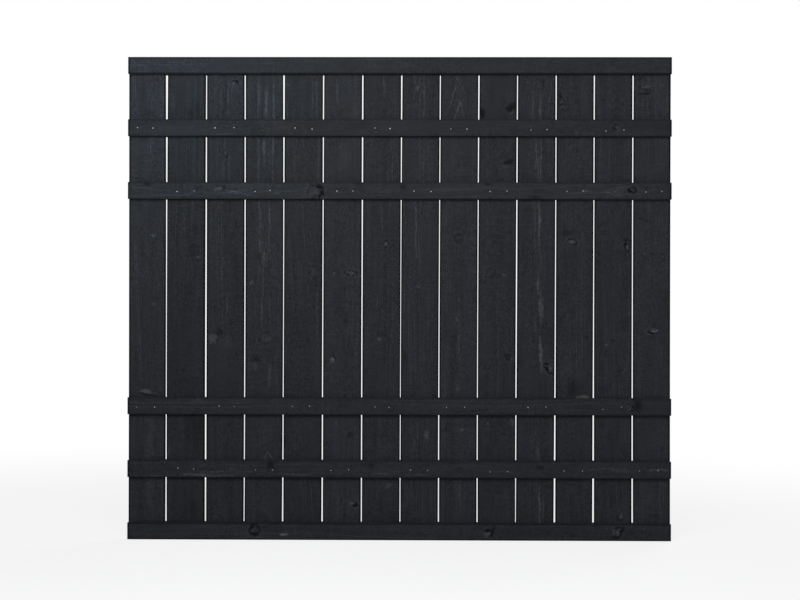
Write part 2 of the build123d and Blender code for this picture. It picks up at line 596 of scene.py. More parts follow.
class TimberSettings(PropertyGroup):
    """Sawing and staining of the boards and rails."""

    arris: FloatProperty(
        name="Arris",
        description="Radius of the eased long edges",
        default=2 * MILLIMETRE,
        unit="LENGTH",
    )
    end_arris: FloatProperty(
        name="End Arris",
        description="Chamfer left by the saw round each end",
        default=0.6 * MILLIMETRE,
        unit="LENGTH",
    )
    arris_steps: IntProperty(
        name="Arris Steps",
        description="Flats that make one eased edge",
        default=4,
    )
    spans: IntProperty(
        name="Spans",
        description="Straight spans that make a bowed board's side",
        default=10,
    )
    relief: FloatProperty(
        name="Relief",
        description="Depth of the hollows that drying left in the faces",
        default=0.5 * MILLIMETRE,
        unit="LENGTH",
    )
    relief_size: FloatProperty(
        name="Relief Size",
        description="Width of those hollows",
        default=70 * MILLIMETRE,
        unit="LENGTH",
    )
    spacing: FloatProperty(
        name="Mesh Spacing",
        description="Distance between the cuts along a timber that shape its surface",
        default=20 * MILLIMETRE,
        unit="LENGTH",
    )
    ring_width: FloatProperty(
        name="Ring Width",
        description="One year's growth",
        default=5.5 * MILLIMETRE,
        unit="LENGTH",
    )
    stain: FloatVectorProperty(
        name="Stain",
        description="Colour of the black stain",
        subtype="COLOR",
        default=(0.0170, 0.0181, 0.0207),
    )
    # Painted sheen: the stain's colour where it is painted paler and bluer, at the upper left
    painted_sheen_tint: FloatVectorProperty(
        name="Haze",
        description="Colour of the stain where the weather has paled it most",
        subtype="COLOR",
        default=(0.0240, 0.0282, 0.0335),
    )
    board_roughness: FloatProperty(
        name="Board Roughness",
        description="How much the saw tore the boards, from 0 to 1",
        default=1.0,
    )
    rail_roughness: FloatProperty(
        name="Rail Roughness",
        description="How much the saw tore the rails, from 0 to 1",
        default=0.75,
    )
    bare_wood: FloatVectorProperty(
        name="Bare Wood",
        description="Colour where the stain is worn through",
        subtype="COLOR",
        default=(0.10, 0.075, 0.045),
    )


class NailSettings(PropertyGroup):
    """Nails that hold the rails."""

    head_radius: FloatProperty(
        name="Head Radius",
        description="Radius of a nail's flat head",
        default=2.05 * MILLIMETRE,
        unit="LENGTH",
    )
    head_thickness: FloatProperty(
        name="Head Thickness",
        description="Thickness of the head",
        default=1.1 * MILLIMETRE,
        unit="LENGTH",
    )
    shank_radius: FloatProperty(
        name="Shank Radius",
        description="Radius of the nail below its head",
        default=1.4 * MILLIMETRE,
        unit="LENGTH",
    )
    length: FloatProperty(
        name="Length",
        description="From the top of the head to the point",
        default=45 * MILLIMETRE,
        unit="LENGTH",
    )
    sides: IntProperty(name="Sides", description="Flats round a nail", default=12)
    sink: FloatProperty(
        name="Sink",
        description="How far the head is driven below the rail's face",
        default=0.4 * MILLIMETRE,
        unit="LENGTH",
    )
    dimple: FloatProperty(
        name="Dimple",
        description="Gap that the hammer left round the head",
        default=0.6 * MILLIMETRE,
        unit="LENGTH",
    )
    pair_width: FloatProperty(
        name="Pair Width",
        description="Distance between the two nails in one board",
        default=56 * MILLIMETRE,
        unit="LENGTH",
    )
    scatter: FloatProperty(
        name="Scatter",
        description="How far a nail may stand from its line",
        default=5 * MILLIMETRE,
        unit="LENGTH",
    )
    zinc: FloatVectorProperty(
        name="Zinc",
        description="Colour of the dulled zinc",
        subtype="COLOR",
        default=(0.23, 0.24, 0.25),
    )


def eye():
    """Where the lens is."""
    stage = bpy.context.scene.windbreak_stage
    side = panel_middle.x + stage.eye_side
    return Vector((side, panel_front - stage.camera_distance, stage.eye_height))


def camera_turn():
    """Turns a camera that looks down, as a new one does, to the way that the photograph looks."""
    stage = bpy.context.scene.windbreak_stage
    level = Matrix.Rotation(math.pi / 2, 3, "X")
    return Matrix.Rotation(stage.yaw, 3, "Z") @ Matrix.Rotation(-stage.roll, 3, "Y") @ level


def place_in_photo(column, row, depth):
    """The point at one depth (Y) of the panel that the photograph shows at a pixel."""
    focal_pixels = bpy.context.scene.windbreak_stage.lens / SENSOR_WIDTH * PHOTO_WIDTH
    ray = camera_turn() @ Vector((column - PHOTO_WIDTH / 2, PHOTO_HEIGHT / 2 - row, -focal_pixels))
    return eye() + ray * (depth - eye().y) / ray.y


class Side(NamedTuple):
    """One long side of a timber: where its two ends stand across, and how far it bows between."""

    first: float
    last: float
    bow: float

    def at(self, share):
        """Where the side stands at a share of the timber's length."""
        return self.first + (self.last - self.first) * share + self.bow * bow_share(share)


def bow_share(share):
    """The share of a bow at a share of the length: all of it in the middle, none at the ends."""
    return 4 * share * (1 - share)


class Timber(NamedTuple):
    """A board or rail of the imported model. Its grain runs along one axis of the panel."""

    node: str
    centre: Vector
    along: int
    across: int
    sides: tuple
    width: float
    thickness: float
    length: float

    @property
    def turn(self):
        """Turns the panel's axes to the timber's own: X across it, Y through it, Z along it."""
        return Matrix.Rotation(0 if self.along == 2 else math.pi / 2, 3, "Y")

    def own(self, place):
        """A place on the panel in the timber's own axes, from its middle."""
        return self.turn @ (place - self.centre)

    def share(self, place):
        """How far along the timber a place is, from 0 to 1."""
        return (place[self.along] - self.centre[self.along]) / self.length + 0.5


def measure_side(timber, direction, arris):
    """Reads the side that faces -1 or 1 across a timber off its node, between its eased edges."""
    near = MILLIMETRE / 10
    spots = []
    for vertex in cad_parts[timber.node].data.vertices:
        if abs(vertex.co.y - timber.centre.y) > timber.thickness / 2 - arris + near:
            continue
        if (vertex.co[timber.across] - timber.centre[timber.across]) * direction > 0:
            spots.append((timber.share(vertex.co), vertex.co[timber.across]))
    spots.sort()
    side = Side(spots[0][1], spots[-1][1], 0.0)
    inner = [(share, place) for share, place in spots if END_SHARE < share < 1 - END_SHARE]
    bows = [(place - side.at(share)) / bow_share(share) for share, place in inner]
    return side._replace(bow=sum(bows) / len(bows) if bows else 0.0)


def measure_timber(node, arris):
    """Reads a timber's place, section, lean and bow off its node."""
    low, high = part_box(node)
    size = high - low
    along = 2 if size.z > size.x else 0
    timber = Timber(node, (low + high) / 2, along, 2 - along, (), 0.0, size.y, size[along])
    left, right = (measure_side(timber, direction, arris) for direction in (-1, 1))
    return timber._replace(sides=(left, right), width=right.first - left.first)


def select_nothing():
    """Deselects every object, the model's own among them."""
    if bpy.context.mode != "OBJECT":
        bpy.ops.object.mode_set(mode="OBJECT")
    bpy.ops.object.select_all(action="DESELECT")


def select_only(piece):
    select_nothing()
    piece.select_set(True)
    bpy.context.view_layer.objects.active = piece


def pick(piece, kind, wanted):
    """In edit mode, selects the vertices, edges or faces that pass a test, and no others."""
    bpy.ops.mesh.select_mode(type=kind)
    bpy.ops.mesh.select_all(action="DESELECT")
    mesh = bmesh.from_edit_mesh(piece.data)
    for part in {"VERT": mesh.verts, "EDGE": mesh.edges, "FACE": mesh.faces}[kind]:
        if wanted(part):
            part.select_set(True)
    bmesh.update_edit_mesh(piece.data)


def finish_mesh(piece):
    """Shades a piece smooth apart from its sharp edges and puts its place into its mesh."""
    select_only(piece)
    bpy.ops.object.transform_apply(location=True, rotation=True, scale=True)
    bpy.ops.object.shade_smooth_by_angle(angle=SHARP_ANGLE)


def edge_reach(edge, axis):
    """How far an edge runs along one axis."""
    return abs(edge.verts[0].co[axis] - edge.verts[1].co[axis])


def edge_middle(edge):
    return (edge.verts[0].co + edge.verts[1].co) / 2


def saw_timber(timber, name, settings):
    """Cuts a timber to its place and size, with its lean and bow and its edges eased."""
    size = Vector()
    size[timber.across] = timber.width
    size[timber.along] = timber.length
    size.y = timber.thickness
    select_nothing()
    bpy.ops.mesh.primitive_cube_add(size=1, location=timber.centre, scale=size)
    piece = bpy.context.active_object
    piece.name = name
    piece.data.name = name
    bpy.ops.object.transform_apply(location=True, rotation=True, scale=True)
    bpy.ops.object.mode_set(mode="EDIT")
    pick(piece, "EDGE", lambda edge: edge_reach(edge, timber.along) > timber.length / 2)
    bpy.ops.mesh.subdivide(number_cuts=settings.spans - 1)
    bend_sides(piece, timber, settings)
    span = timber.length / settings.spans
    pick(piece, "EDGE", lambda edge: edge_reach(edge, timber.along) > span / 2)
    bpy.ops.mesh.bevel(offset=settings.arris, segments=settings.arris_steps, affect="EDGES")
    near = settings.end_arris / timber.length
    pick(piece, "EDGE", lambda edge: abs(timber.share(edge_middle(edge)) - 0.5) > 0.5 - near)
    bpy.ops.mesh.bevel(offset=settings.end_arris, segments=1, affect="EDGES")
    pick(piece, "EDGE", lambda edge: edge_reach(edge, timber.along) > span / 2)
    bpy.ops.mesh.subdivide(number_cuts=cuts_for(span, settings.spacing))
    pick(piece, "EDGE", lambda edge: edge_reach(edge, timber.across) > timber.width / 2)
    bpy.ops.mesh.subdivide(number_cuts=cuts_for(timber.width, settings.spacing / 2))
    bpy.ops.object.mode_set(mode="OBJECT")
    return piece


def bend_sides(piece, timber, settings):
    """Moves both sides of a timber, ring by ring, to where its node has them."""
    middle = timber.centre[timber.across]
    near = 0.1 / settings.spans
    for ring in range(settings.spans + 1):
        share = ring / settings.spans
        for direction, side in zip((-1, 1), timber.sides):
            shift = Vector()
            shift[timber.across] = side.at(share) - middle - direction * timber.width / 2
            if shift.length < MILLIMETRE / 100:
                continue
            pick(
                piece,
                "VERT",
                lambda vertex: abs(timber.share(vertex.co) - share) < near
                and (vertex.co[timber.across] - middle) * direction > 0,
            )
            bpy.ops.transform.translate(value=shift)


def cuts_for(length, spacing):
    """Cuts that divide a length into steps of about one spacing. One operator makes 100 at most."""
    return min(100, max(1, round(length / spacing) - 1))


def add_relief(piece, settings):
    """Hollows the faces a little, never outwards, as drying and the saw leave them."""
    hollows = bpy.data.textures.new(f"hollows_{piece.name}", "CLOUDS")
    hollows.noise_scale = settings.relief_size
    hollows.noise_depth = 2
    wide_faces = piece.vertex_groups.new(name="wide_faces")
    for vertex in piece.data.vertices:
        flatness = (abs(vertex.normal.y) - FLAT) / (1 - FLAT)
        wide_faces.add([vertex.index], max(flatness, 0.0), "REPLACE")
    select_only(piece)
    relief = piece.modifiers.new("Relief", "DISPLACE")
    relief.vertex_group = wide_faces.name
    relief.texture = hollows
    relief.texture_coords = "LOCAL"
    relief.mid_level = 1.0
    relief.strength = settings.relief
    bpy.ops.object.modifier_apply(modifier=relief.name)
    piece.vertex_groups.clear()
    bpy.data.textures.remove(hollows)


class Wiring:
    """Adds nodes to a tree and links them."""

    def __init__(self, tree):
        self.tree = tree

    def add(self, kind, inputs=None, **settings):
        node = self.tree.nodes.new(kind)
        for name, value in settings.items():
            setattr(node, name, value)
        for socket, value in (inputs or {}).items():
            self.feed(node.inputs[socket], value)
        return node

    def feed(self, socket, value):
        """Links an output to a socket, or sets the socket to a plain value."""
        if isinstance(value, bpy.types.NodeSocket):
            self.tree.links.new(value, socket)
        else:
            socket.default_value = value

    def math(self, operation, *values, clamp=False):
        node = self.add("ShaderNodeMath", operation=operation, use_clamp=clamp)
        for socket, value in zip(node.inputs, values):
            self.feed(socket, value)
        return node.outputs[0]

    def times(self, value, *factors):
        for factor in factors:
            value = self.math("MULTIPLY", value, factor)
        return value

    def plus(self, value, added):
        return self.math("ADD", value, added)

    def minus(self, value, taken):
        return self.math("SUBTRACT", value, taken)

    def scaled(self, value, factor, added):
        """A value times a factor, with something added."""
        return self.math("MULTIPLY_ADD", value, factor, added)

    def diagonal(self, first, second):
        """How far a point is, when two distances at right angles are given."""
        return self.math("SQRT", self.plus(self.times(first, first), self.times(second, second)))

    def vector_math(self, operation, *values):
        node = self.add("ShaderNodeVectorMath", operation=operation)
        for socket, value in zip(node.inputs, values):
            self.feed(socket, value)
        return node.outputs[0]

    def scale_vector(self, vector, scale):
        node = self.add("ShaderNodeVectorMath", {"Scale": scale}, operation="SCALE")
        self.feed(node.inputs[0], vector)
        return node.outputs[0]

    def mix_colours(self, share, first, second):
        """The first colour, turned into the second by a share."""
        inputs = {0: share, 6: first, 7: second}
        return self.add("ShaderNodeMix", inputs, data_type="RGBA").outputs[2]

    def split(self, vector):
        """The three parts of a vector."""
        return self.add("ShaderNodeSeparateXYZ", {"Vector": vector}).outputs[:3]

    def step(self, value, low, high):
        """0 below low, 1 above high, and smooth between."""
        inputs = {"Value": value, "From Min": low, "From Max": high}
        return self.add("ShaderNodeMapRange", inputs, interpolation_type="SMOOTHSTEP").outputs[0]

    def noise(self, point, layer):
        """One of the layers of noise, around 0.5."""
        waves, detail, roughness = LAYERS[layer]
        stretched = self.vector_math("MULTIPLY", point, waves)
        inputs = {"Vector": stretched, "Scale": 1.0, "Detail": detail, "Roughness": roughness}
        return self.add("ShaderNodeTexNoise", inputs).outputs[0]

    def bell(self, value, width):
        """1 where a value is 0, and less to both sides."""
        distance = self.math("ABSOLUTE", self.math("DIVIDE", value, width))
        return self.math("EXPONENT", self.times(self.math("POWER", distance, 2.0), -1.0))

    def place_group(self, name, inputs):
        """Places a node group with values of its own."""
        return self.add("ShaderNodeGroup", inputs, node_tree=shared_group(name)).outputs


def socket_kind(value):
    """The kind of socket that holds a number, a place or a colour."""
    if isinstance(value, float):
        return "Float"
    return {3: "Vector", 4: "Color"}[len(value)]


def new_group(name, inputs, outputs):
    """An empty shader node group: its wiring, what comes in and where it goes out."""
    tree = bpy.data.node_groups.new(name, "ShaderNodeTree")
    for label, value in inputs.items():
        kind = f"NodeSocket{socket_kind(value)}"
        tree.interface.new_socket(label, in_out="INPUT", socket_type=kind).default_value = value
    for label, kind in outputs.items():
        tree.interface.new_socket(label, in_out="OUTPUT", socket_type=f"NodeSocket{kind}")
    wiring = Wiring(tree)
    return wiring, wiring.add("NodeGroupInput").outputs, wiring.add("NodeGroupOutput").inputs


def timber_mark_group():
    """One knot, streak or smudge. Groups in a row pass on what those before them gave."""
    wiring, given, result = new_group(
        "Timber Mark",
        {
            "Point": ORIGIN,
            "Centre": ORIGIN,
            "Across": 0.01,
            "Along": 0.01,
            "Turn": 0.0,
            "Tone": 0.0,
            "Rim": 0.0,
            "Crescent": 0.0,
            "Softness": 0.3,
            "Bend": 0.0,
            "Bare": 0.0,
            "Swell Before": 0.0,
            "Shade Before": 0.0,
            "Ring Before": 0.0,
            "Warmth Before": 0.0,
        },
        {"Swell": "Float", "Shade": "Float", "Ring": "Float", "Warmth": "Float"},
    )
    offset = wiring.vector_math("SUBTRACT", given["Point"], given["Centre"])
    turn = {"Vector": offset, "Angle": given["Turn"]}
    turned = wiring.add("ShaderNodeVectorRotate", turn, rotation_type="Y_AXIS").outputs[0]
    across, _, along = wiring.split(turned)
    across = wiring.math("DIVIDE", across, given["Across"])
    along = wiring.math("DIVIDE", along, given["Along"])
    round_distance = wiring.diagonal(across, along)
    rough = wiring.noise(given["Point"], "knot edge")
    uneven = wiring.scaled(rough, 2.2, wiring.minus(round_distance, 1.1))
    distance = wiring.math("MAXIMUM", uneven, 0.0)
    outer = wiring.plus(1.0, given["Softness"])
    inner = wiring.minus(1.0, given["Softness"])
    inside = wiring.minus(1.0, wiring.step(distance, inner, outer))
    year_rings = wiring.math("SINE", wiring.times(distance, 9.0))
    ringed = wiring.scaled(wiring.times(year_rings, given["Rim"]), 0.8, 1.0)
    tone = wiring.times(given["Tone"], inside, ringed)
    halo = wiring.times(wiring.bell(wiring.minus(distance, 1.6), 0.3), given["Rim"])
    shade = wiring.scaled(halo, 0.4, tone)
    wiring.feed(result["Shade"], wiring.plus(given["Shade Before"], shade))

    side = wiring.math("DIVIDE", across, wiring.math("MAXIMUM", round_distance, 0.4))
    one_side = wiring.scaled(given["Crescent"], side, 1.0)
    rim = wiring.bell(wiring.minus(distance, 1.05), 0.3)
    broken = wiring.scaled(rough, 2.4, -0.2)
    rim = wiring.times(rim, given["Rim"], wiring.math("MAXIMUM", one_side, 0.0), broken)
    wiring.feed(result["Ring"], wiring.plus(given["Ring Before"], rim))

    bent = wiring.times(given["Across"], given["Bend"], wiring.bell(distance, 2.2))
    wiring.feed(result["Swell"], wiring.plus(given["Swell Before"], bent))
    bare = wiring.times(inside, given["Bare"])
    wiring.feed(result["Warmth"], wiring.math("MAXIMUM", given["Warmth Before"], bare))
    return wiring.tree


def softwood_group():
    """Year rings round a pith that runs along the timber, with fibres and patches."""
    wiring, given, result = new_group(
        "Softwood",
        {
            "Point": ORIGIN,
            "Swell": 0.0,
            "Pith Across": 0.0,
            "Pith Depth": 0.06,
            "Ring Width": 0.0036,
            "Taper": 0.012,
        },
        {"Late Wood": "Float", "Fibre": "Float", "Patch": "Float", "Speck": "Float"},
    )
    point = given["Point"]
    across, through, along = wiring.split(point)
    sway = wiring.scaled(wiring.noise(point, "sway"), 0.036, -0.018)
    across = wiring.minus(wiring.plus(across, sway), given["Pith Across"])
    through = wiring.minus(through, given["Pith Depth"])
    distance = wiring.minus(wiring.diagonal(across, through), given["Swell"])
    distance = wiring.scaled(along, given["Taper"], distance)
    distance = wiring.scaled(wiring.noise(point, "ring edge"), 0.005, distance)
    years = wiring.math("DIVIDE", distance, given["Ring Width"])
    late = wiring.bell(wiring.minus(wiring.math("FRACT", years), 0.75), 0.2)
    year_point = wiring.add("ShaderNodeCombineXYZ", {"X": years}).outputs[0]
    strong_years = wiring.step(wiring.noise(year_point, "strong years"), 0.46, 0.62)
    shown = wiring.step(wiring.noise(point, "shown rings"), 0.42, 0.62)
    strength = wiring.scaled(wiring.times(strong_years, shown), 0.85, 0.15)
    fibre = wiring.noise(point, "fibre")
    clear = wiring.step(wiring.noise(point, "clear wood"), 0.35, 0.6)
    specks = wiring.minus(wiring.noise(point, "speck"), 0.5)
    speck = wiring.plus(wiring.times(specks, wiring.scaled(clear, 0.9, 0.4)), 0.5)
    broken = wiring.scaled(speck, 2.4, -0.2)
    wiring.feed(result["Late Wood"], wiring.times(late, strength, broken))
    wiring.feed(result["Fibre"], fibre)
    wiring.feed(result["Speck"], speck)
    patch = wiring.plus(wiring.noise(point, "blotch"), wiring.noise(point, "band"))
    wiring.feed(result["Patch"], wiring.times(patch, 0.5))
    return wiring.tree


def wavy_grain_group():
    """A point that follows the wander of the grain, for marks that run along it."""
    wiring, given, result = new_group("Wavy Grain", {"Point": ORIGIN}, {"Point": "Vector"})
    wander = wiring.scaled(wiring.noise(given["Point"], "wander"), 0.024, -0.012)
    shift = wiring.add("ShaderNodeCombineXYZ", {"X": wander}).outputs[0]
    wiring.feed(result["Point"], wiring.vector_math("ADD", given["Point"], shift))
    return wiring.tree


def painted_sheen_group():
    """Painted light and sheen: the panel paler and bluer towards its upper left, and a little paler on
    the right.
    """
    outputs = {"Pale": "Float", "Haze": "Float"}
    wiring, given, result = new_group("Weathering", {"Place": ORIGIN}, outputs)
    x, _, z = wiring.split(given["Place"])
    high = wiring.step(z, 0.7, 1.65)
    left = wiring.step(wiring.times(x, -1.0), -0.1, 1.0)
    right = wiring.step(x, 0.35, 1.1)
    pale = wiring.scaled(high, 0.12, 1.0)
    wiring.feed(result["Pale"], wiring.scaled(right, 0.08, pale))
    wiring.feed(result["Haze"], wiring.times(high, left))
    return wiring.tree


def painted_edge_shade_group():
    """The eased edges of a timber, darkened with painted shade as if they rounded off into shade."""
    wiring, given, result = new_group(
        "Stained Edge",
        {
            "Point": ORIGIN,
            "Half Width": 0.06,
            "Half Thickness": 0.008,
            "Arris": 0.002,
            "Slope": 0.0,
            "Length": 1.0,
            "Bow": 0.0,
            "Belly": 0.0,
            "Side Strength": 1.0,
        },
        {"Edge": "Float"},
    )
    across, through, along = wiring.split(given["Point"])
    across = wiring.minus(across, wiring.times(along, given["Slope"]))
    share = wiring.math("DIVIDE", along, given["Length"])
    bowed = wiring.scaled(wiring.times(share, share), -4.0, 1.0)
    across = wiring.minus(across, wiring.times(bowed, given["Bow"]))
    half_width = wiring.scaled(bowed, given["Belly"], given["Half Width"])
    from_side = wiring.minus(half_width, wiring.math("ABSOLUTE", across))
    from_face = wiring.minus(given["Half Thickness"], wiring.math("ABSOLUTE", through))
    from_end = wiring.minus(wiring.times(given["Length"], 0.5), wiring.math("ABSOLUTE", along))
    ragged = wiring.scaled(wiring.noise(given["Point"], "ragged edge"), 0.8, -0.4)
    insets = {
        "side": wiring.math("MAXIMUM", from_side, from_face),
        "end": wiring.math("MAXIMUM", from_end, wiring.math("MINIMUM", from_face, from_side)),
    }
    edges = {}
    for name, inset in insets.items():
        steps_in = wiring.plus(wiring.math("DIVIDE", inset, given["Arris"]), ragged)
        edges[name] = wiring.minus(1.0, wiring.step(steps_in, 1.5, 3.1))
    side_edge = wiring.times(edges["side"], given["Side Strength"])
    wiring.feed(result["Edge"], wiring.math("MAXIMUM", side_edge, edges["end"]))
    return wiring.tree


def sawn_face_group():
    """Ridges that a saw leaves across the grain, and their height with that of the torn fibres."""
    wiring, given, result = new_group(
        "Sawn Face",
        {
            "Point": ORIGIN,
            "Fibre": 0.5,
            "Late Wood": 0.0,
            "Torn": 1.0,
        },
        {"Ridges": "Float", "Height": "Float"},
    )
    point = given["Point"]
    sawn_here = wiring.step(wiring.noise(point, "sawn patch"), 0.38, 0.62)
    ridges = wiring.minus(wiring.noise(point, "saw ridge"), 0.5)
    ridges = wiring.times(ridges, sawn_here, given["Torn"])
    wiring.feed(result["Ridges"], ridges)
    torn = wiring.times(wiring.noise(point, "torn fibre"), given["Torn"])
    height = wiring.scaled(torn, 0.35, ridges)
    height = wiring.scaled(given["Fibre"], 0.5, height)
    wiring.feed(result["Height"], wiring.scaled(given["Late Wood"], 0.3, height))
    return wiring.tree


def black_stain_group():
    """Colour and roughness of softwood under a thin black stain, with painted light and shade on it."""
    wiring, given, result = new_group(
        "Black Stain",
        {
            "Stain": (0.02, 0.022, 0.025, 1),
            "Haze Color": (0.03, 0.033, 0.04, 1),
            "Bare Wood": (0.1, 0.075, 0.045, 1),
            "Pale": 1.0,
            "Haze": 0.0,
            "Late Wood": 0.0,
            "Fibre": 0.5,
            "Patch": 0.5,
            "Speck": 0.5,
            "Ridges": 0.0,
            "Torn": 1.0,
            "Shade": 0.0,
            "Ring": 0.0,
            "Warmth": 0.0,
            "Edge": 0.0,
        },
        {"Color": "Color", "Roughness": "Float"},
    )
    tone = wiring.scaled(given["Late Wood"], 0.9, 1.0)
    for name, strength in {"Fibre": 0.6, "Patch": 1.3}.items():
        tone = wiring.scaled(wiring.minus(given[name], 0.5), strength, tone)
    speck = wiring.minus(given["Speck"], 0.5)
    torn = wiring.scaled(given["Torn"], 1.1, 0.5)
    tone = wiring.scaled(speck, torn, tone)
    # Painted light and shade of the saw ridges, as well as their bump
    tone = wiring.scaled(given["Ridges"], 1.1, tone)
    uneven_shade = wiring.times(given["Shade"], wiring.scaled(speck, 3.0, 1.0))
    tone = wiring.plus(tone, uneven_shade)
    tone = wiring.times(tone, wiring.scaled(given["Ring"], -0.8, 1.0))
    tone = wiring.math("MAXIMUM", tone, 0.15)
    # Painted shade along the edges, then painted light from the upper left
    tone = wiring.times(tone, wiring.scaled(given["Edge"], -0.9, 1.0), given["Pale"])
    # Painted sheen: bluer towards the upper left
    sheen_tinted = wiring.mix_colours(given["Haze"], given["Stain"], given["Haze Color"])
    stained = wiring.scale_vector(sheen_tinted, tone)
    mixed = wiring.mix_colours(given["Warmth"], stained, given["Bare Wood"])
    wiring.feed(result["Color"], mixed)
    rough = wiring.scaled(given["Patch"], 0.25, 0.5)
    rough = wiring.scaled(given["Late Wood"], -0.1, rough)
    wiring.feed(result["Roughness"], wiring.math("MULTIPLY_ADD", given["Ring"], 0.15, rough, clamp=True))
    return wiring.tree


def dull_zinc_group():
    """Colour and roughness of hammered zinc with stain left on it."""
    wiring, given, result = new_group(
        "Dull Zinc",
        {"Point": ORIGIN, "Zinc": (0.3, 0.31, 0.32, 1)},
        {"Color": "Color", "Roughness": "Float"},
    )
    spangle = wiring.noise(given["Point"], "spangle")
    smear = wiring.step(wiring.noise(given["Point"], "smear"), 0.35, 0.65)
    tone = wiring.scaled(spangle, 0.5, wiring.scaled(smear, 0.6, 0.25))
    wiring.feed(result["Color"], wiring.scale_vector(given["Zinc"], tone))
    wiring.feed(result["Roughness"], wiring.scaled(spangle, 0.3, 0.35))
    return wiring.tree


GROUP_MAKERS = {
    "Timber Mark": timber_mark_group,
    "Softwood": softwood_group,
    "Wavy Grain": wavy_grain_group,
    "Weathering": painted_sheen_group,
    "Stained Edge": painted_edge_shade_group,
    "Sawn Face": sawn_face_group,
    "Black Stain": black_stain_group,
    "Dull Zinc": dull_zinc_group,
}


def shared_group(name):
    """A node group, built when the first material needs it."""
    return bpy.data.node_groups.get(name) or GROUP_MAKERS[name]()


def new_material(name):
    """A material with nothing but its output and a Principled shader."""
    material = bpy.data.materials.new(name)
    material.use_nodes = True
    material.node_tree.nodes.clear()
    wiring = Wiring(material.node_tree)
    shader = wiring.add("ShaderNodeBsdfPrincipled")
    output = wiring.add("ShaderNodeOutputMaterial")
    wiring.feed(output.inputs["Surface"], shader.outputs[0])
    return material, wiring, shader


def hidden_knots(timber, chance):
    """Knots for a timber that the photograph doesn't show."""
    knots = []
    for _ in range(chance.randint(3, 5)):
        place = Vector(timber.centre)
        place[timber.across] += chance.uniform(-0.35, 0.35) * timber.width
        place[timber.along] += chance.uniform(-0.48, 0.48) * timber.length
        radius = chance.uniform(0.006, 0.014)
        along = radius * chance.uniform(0.9, 1.4)
        knots.append((place, knot(0, 0, radius, along=along, tone=chance.uniform(-0.4, 0.5))))
    return knots


def shown_marks(timber):
    """The marks of a timber that the photograph shows, each with its place on the panel."""
    face = timber.centre.y - timber.thickness / 2
    return [(place_in_photo(mark.column, mark.row, face), mark) for mark in MARKS[timber.node]]


def chain_marks(wiring, point, timber, marks):
    """Places a timber's marks in a row and gives what the last of them puts out."""
    made = {}
    for spot, mark in marks:
        inputs = {
            "Point": point,
            "Centre": timber.own(spot) * Vector((1, 0, 1)),
            "Across": mark.across,
            "Along": mark.along,
            "Turn": math.radians(mark.turn),
            "Tone": mark.tone,
            "Rim": mark.rim,
            "Crescent": mark.crescent,
            "Softness": mark.soft,
            "Bend": mark.bend,
            "Bare": mark.warm * BARE_SHARE,
        }
        inputs.update({f"{name} Before": output for name, output in made.items()})
        made = {output.name: output for output in wiring.place_group("Timber Mark", inputs)}
    return made


def pass_on(outputs, *names):
    """Inputs for a group that takes some outputs of another under the same names."""
    return {name: outputs[name] for name in names}


def stained_timber(timber, settings):
    """Black stain over a timber's own grain and knots, darkest along its edges."""
    chance = random.Random(f"grain of {timber.node}")
    pith_across = chance.uniform(-0.2, 0.2) * timber.width
    pith_depth = chance.uniform(0.012, 0.045)
    ring_width = settings.ring_width * chance.uniform(0.8, 1.3)
    taper = chance.choice((-1, 1)) * chance.uniform(0.008, 0.03)
    torn = settings.board_roughness if timber.along == 2 else settings.rail_roughness
    left, right = timber.sides
    material, wiring, shader = new_material(f"black_stain_{timber.node}")
    place = wiring.add("ShaderNodeTexCoord").outputs["Object"]
    centred = {
        "Vector": place,
        "Location": -(timber.turn @ timber.centre),
        "Rotation": timber.turn.to_euler(),
    }
    point = wiring.add("ShaderNodeMapping", centred).outputs[0]
    wavy = wiring.place_group("Wavy Grain", {"Point": point})["Point"]
    marks = shown_marks(timber) if timber.node in MARKS else hidden_knots(timber, chance)
    made = chain_marks(wiring, wavy, timber, marks)
    # A place of its own in the noise for every timber
    shift = Vector((chance.uniform(0, 9), 0, chance.uniform(0, 9)))
    grain_point = wiring.vector_math("ADD", point, shift)
    grain = wiring.place_group(
        "Softwood",
        {
            "Point": grain_point,
            "Swell": made["Swell"],
            "Pith Across": pith_across,
            "Pith Depth": pith_depth,
            "Ring Width": ring_width,
            "Taper": taper,
        },
    )
    # Painted shade along the edges: full on boards, weaker on rails
    usual_edge_shade = RAIL_EDGE_SHADE if timber.node in rails else BOARD_EDGE_SHADE
    edge = wiring.place_group(
        "Stained Edge",
        {
            "Point": point,
            "Half Width": timber.width / 2,
            "Half Thickness": timber.thickness / 2,
            "Arris": settings.arris,
            "Slope": (left.last - left.first) / timber.length,
            "Length": timber.length,
            "Bow": (left.bow + right.bow) / 2,
            "Belly": (right.bow - left.bow) / 2,
            "Side Strength": EDGE_SHADES.get(timber.node, usual_edge_shade),
        },
    )
    sawn = wiring.place_group(
        "Sawn Face",
        {"Point": grain_point, "Torn": torn, **pass_on(grain, "Fibre", "Late Wood")},
    )
    # Painted light and sheen, paler and bluer towards the upper left
    painted_light = wiring.place_group("Weathering", {"Place": place})
    tone = TONES.get(timber.node, 1.0)
    look = wiring.place_group(
        "Black Stain",
        {
            "Stain": (*(channel * tone for channel in settings.stain), 1.0),
            "Haze Color": (*(channel * tone for channel in settings.painted_sheen_tint), 1.0),
            "Bare Wood": (*settings.bare_wood, 1.0),
            "Torn": torn,
            "Ridges": sawn["Ridges"],
            "Edge": edge["Edge"],
            **pass_on(painted_light, "Pale", "Haze"),
            **pass_on(grain, "Late Wood", "Fibre", "Patch", "Speck"),
            **pass_on(made, "Shade", "Ring", "Warmth"),
        },
    )
    height = wiring.scaled(made["Ring"], -1.2, sawn["Height"])
    relief = {"Strength": BUMP_STRENGTH, "Distance": BUMP_DEPTH, "Height": height}
    bump = wiring.add("ShaderNodeBump", relief)
    wiring.feed(shader.inputs["Base Color"], look["Color"])
    wiring.feed(shader.inputs["Roughness"], look["Roughness"])
    wiring.feed(shader.inputs["Normal"], bump.outputs[0])
    shader.inputs["Specular IOR Level"].default_value = SHINE
    return material


